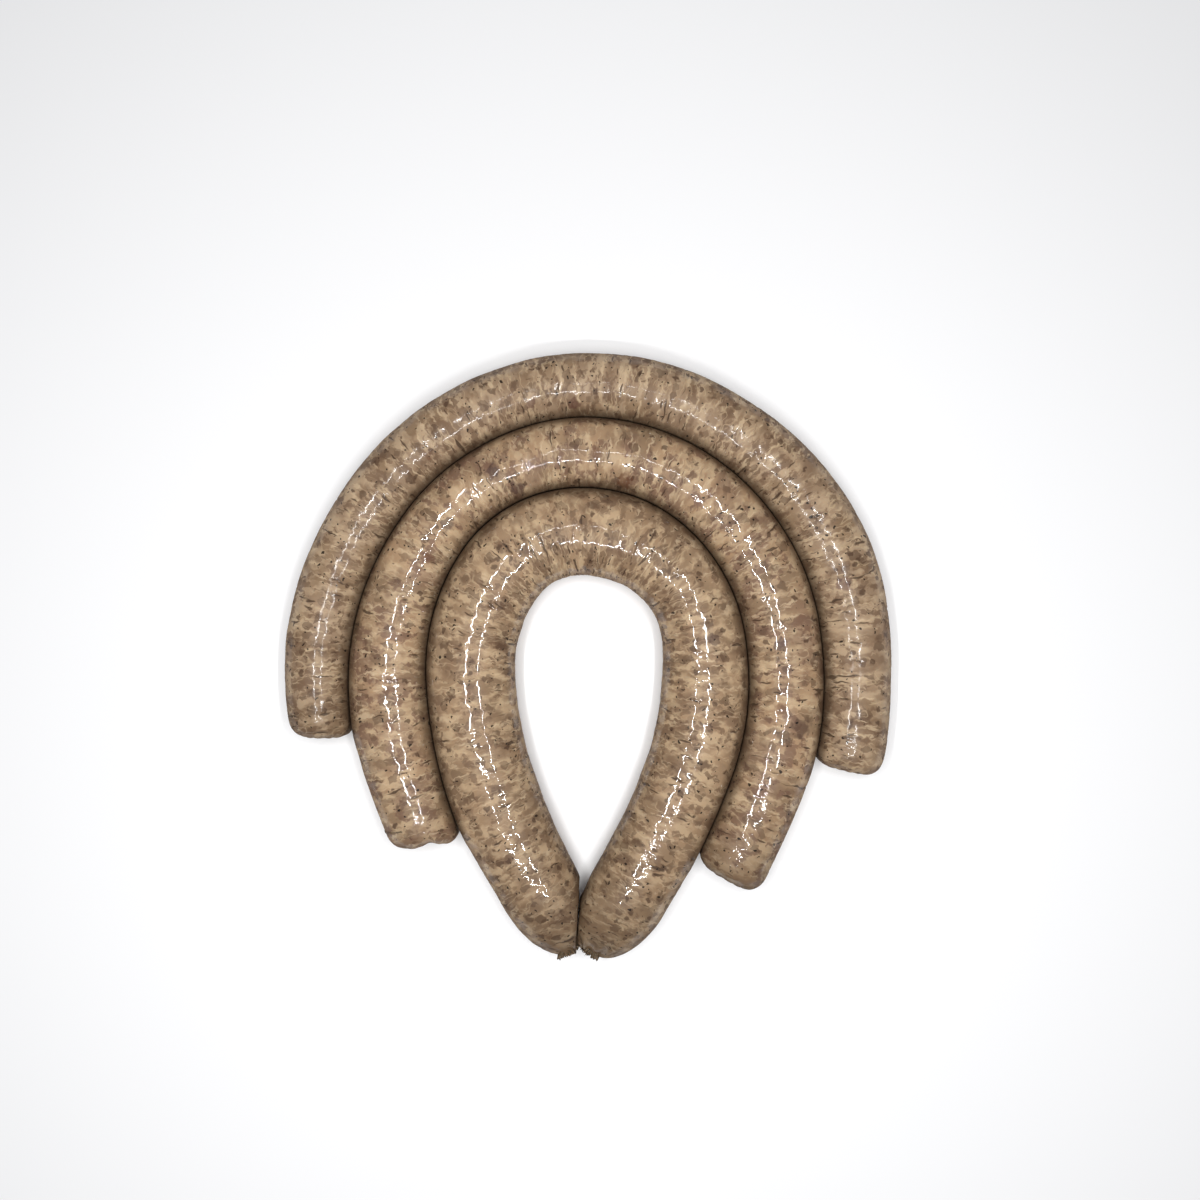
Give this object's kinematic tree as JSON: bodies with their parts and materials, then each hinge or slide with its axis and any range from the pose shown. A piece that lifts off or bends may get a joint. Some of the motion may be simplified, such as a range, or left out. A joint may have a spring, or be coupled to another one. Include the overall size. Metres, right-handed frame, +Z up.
{
  "type": "string of sausage links",
  "caption": "Raw sausage links in natural casing, laid flat as nested horseshoes, the innermost bent so that its gathered ends meet.",
  "frame": {"origin": "on the surface that the links lie on, under the middle of the whole string", "axes": "+Z up, away from the surface; the horseshoes open towards -Y; +X to the right, seen from above with -Y towards the viewer"},
  "size_m": [0.2052, 0.2064, 0.0275],
  "materials": {
    "inner_casing": "moist glossy natural casing over a pale seasoned filling",
    "middle_casing": "moist glossy natural casing over a pale seasoned filling",
    "outer_casing": "moist glossy natural casing over a pale seasoned filling"
  },
  "bodies": {
    "root": {"link_inner": "inner_casing", "link_middle": "middle_casing", "link_outer": "outer_casing"}
  },
  "joints": []
}
